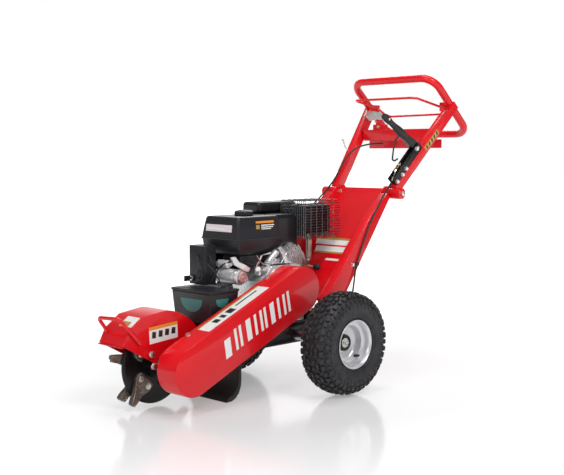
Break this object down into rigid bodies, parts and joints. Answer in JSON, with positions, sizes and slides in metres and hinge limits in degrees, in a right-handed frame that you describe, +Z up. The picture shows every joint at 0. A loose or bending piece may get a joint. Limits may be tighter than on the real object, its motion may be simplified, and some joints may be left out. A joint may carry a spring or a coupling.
{
  "type": "stump grinder",
  "caption": "Walk-behind stump grinder: engine on a two-wheel chassis, belt-driven cutter disc under a guard, folding handle with bail and brake lever.",
  "frame": {"origin": "on the floor under the middle of the machine", "axes": "+Z up, +X forward towards the cutter, +Y to the machine's left, the side with the belt cover"},
  "size_m": [1.6992, 0.733, 1.192],
  "materials": {
    "red_paint": "glossy",
    "black_paint": "satin",
    "tyre": "matte",
    "silver_paint": "satin",
    "steel": "satin",
    "zinc": "bright",
    "cast_iron": "rough",
    "aluminium": "cast",
    "black_plastic": "satin",
    "belt_rubber": "matte",
    "grip_rubber": "satin",
    "cable_sheath": "satin",
    "black_chrome": "dark"
  },
  "bodies": {
    "chassis": {"air_cleaner": "black_plastic", "axle": "steel", "battery_box": "black_plastic", "battery_lid": "black_plastic", "belt_back_plate": "red_paint", "belt_cover": "red_paint", "brake_cable": "cable_sheath", "brake_caliper": "zinc", "carburettor": "aluminium", "chassis_rails": "black_paint", "control_box": "black_plastic", "crankcase": "aluminium", "cutter_bearings": "cast_iron", "cutter_fork": "black_paint", "cutter_guard": "red_paint", "cylinder": "aluminium", "debris_flap": "grip_rubber", "deck_plate": "black_paint", "fan_housing": "black_paint", "frame_bolts": "zinc", "fuel_tank": "black_paint", "left_lower_upright": "red_paint", "lift_handle": "red_paint", "muffler": "black_paint", "muffler_guard": "black_chrome", "rear_panel": "red_paint", "right_lower_upright": "red_paint", "rocker_cover": "aluminium", "starter_motor": "zinc", "throttle_cable": "cable_sheath", "v_belts": "belt_rubber", "wheel_bearings": "steel"},
    "left_wheel": {"left_tyre": "tyre", "left_rim": "silver_paint", "brake_disc": "steel"},
    "right_wheel": {"right_tyre": "tyre", "right_rim": "silver_paint"},
    "cutter": {"cutter_disc": "black_paint", "cutter_teeth": "cast_iron", "tooth_bolts": "zinc", "cutter_shaft": "steel", "driven_pulley": "steel"},
    "clutch": {"clutch_drum": "steel"},
    "crank": {"crankshaft": "steel"},
    "tensioner": {"idler_arm": "zinc"},
    "tension_roller": {"idler_pulley": "steel"},
    "handle": {"left_upper_upright": "red_paint", "right_upper_upright": "red_paint", "control_crossbar": "red_paint", "handle_ring": "red_paint", "brake_bracket": "black_paint"},
    "bail": {"bail": "red_paint"},
    "brake_lever": {"brake_lever": "black_paint"},
    "brake_arm": {"brake_arm": "zinc"},
    "throttle_arm": {"throttle_arm": "zinc"},
    "choke": {"choke_lever": "zinc"},
    "key": {"ignition_key": "zinc"},
    "fuel_cap": {"fuel_cap": "black_plastic"},
    "oil_cap": {"oil_cap": "black_plastic"},
    "recoil_grip": {"recoil_grip": "black_plastic"}
  },
  "joints": [
    {"name": "left_wheel_spin", "type": "hinge", "parent": "chassis", "child": "left_wheel", "pos_m": [0.0593, 0.2985, 0.189], "axis": [0, 1, 0], "continuous": true},
    {"name": "right_wheel_spin", "type": "hinge", "parent": "chassis", "child": "right_wheel", "pos_m": [0.0593, -0.2985, 0.189], "axis": [0, 1, 0], "continuous": true},
    {"name": "cutter_spin", "type": "hinge", "parent": "chassis", "child": "cutter", "pos_m": [0.6403, 0, 0.145], "axis": [0, 1, 0], "continuous": true},
    {"name": "clutch_spin", "type": "hinge", "parent": "chassis", "child": "clutch", "pos_m": [0.1143, 0, 0.372], "axis": [0, 1, 0], "continuous": true},
    {"name": "crank_spin", "type": "hinge", "parent": "chassis", "child": "crank", "pos_m": [0.1143, 0, 0.372], "axis": [0, 1, 0], "continuous": true},
    {"name": "tensioner_swing", "type": "hinge", "parent": "chassis", "child": "tensioner", "pos_m": [0.2873, 0.06, 0.302], "axis": [0, 1, 0], "range_deg": [-12, 0], "stiffness_Nm_per_rad": 2},
    {"name": "tension_roller_spin", "type": "hinge", "parent": "tensioner", "child": "tension_roller", "pos_m": [0.3331, 0.09, 0.24644], "axis": [0, 1, 0], "continuous": true},
    {"name": "handle_fold", "type": "hinge", "parent": "chassis", "child": "handle", "pos_m": [-0.3957, 0, 0.713], "axis": [0, 1, 0], "range_deg": [0, 88], "deforming": ["brake_cable", "throttle_cable"]},
    {"name": "bail_squeeze", "type": "hinge", "parent": "handle", "child": "bail", "pos_m": [-0.6987, 0, 1.066], "axis": [0, -1, 0], "range_deg": [0, 22], "stiffness_Nm_per_rad": 6},
    {"name": "throttle_pull", "type": "hinge", "parent": "chassis", "child": "throttle_arm", "pos_m": [-0.0387, -0.173, 0.474], "axis": [0, 1, 0], "range_deg": [0, 26.4]},
    {"name": "brake_lever_pull", "type": "hinge", "parent": "handle", "child": "brake_lever", "pos_m": [-0.5116, 0.17978, 0.89659], "axis": [-0.0935, -0.9899, 0.1065], "range_deg": [-55, 15]},
    {"name": "brake_arm_pull", "type": "hinge", "parent": "chassis", "child": "brake_arm", "pos_m": [0.0233, 0.204, 0.252], "axis": [0, 1, 0], "range_deg": [-4.4, 1.2]},
    {"name": "choke_turn", "type": "hinge", "parent": "chassis", "child": "choke", "pos_m": [-0.0147, -0.173, 0.496], "axis": [0, 1, 0], "range_deg": [0, 60]},
    {"name": "key_turn", "type": "hinge", "parent": "chassis", "child": "key", "pos_m": [0.3993, -0.163, 0.414], "axis": [1, 0, 0], "range_deg": [0, 80]},
    {"name": "fuel_cap_turn", "type": "hinge", "parent": "chassis", "child": "fuel_cap", "pos_m": [0.2013, -0.075, 0.65], "axis": [0, 0, 1], "range_deg": [0, 90]},
    {"name": "oil_cap_turn", "type": "hinge", "parent": "chassis", "child": "oil_cap", "pos_m": [0.1853, 0.05, 0.292], "axis": [0, 1, 0], "range_deg": [-180, 0]},
    {"name": "recoil_pull", "type": "slide", "parent": "chassis", "child": "recoil_grip", "axis": [1, 0, 0], "range_m": [0, 0.45], "stiffness_N_per_m": 30}
  ],
  "couplings": [
    {"joint": "clutch_spin", "follows": "cutter_spin", "ratio": 1.4889},
    {"joint": "tension_roller_spin", "follows": "cutter_spin", "ratio": 4.1875},
    {"joint": "throttle_pull", "follows": "bail_squeeze", "ratio": 1.2},
    {"joint": "brake_arm_pull", "follows": "brake_lever_pull", "ratio": 0.08}
  ]
}
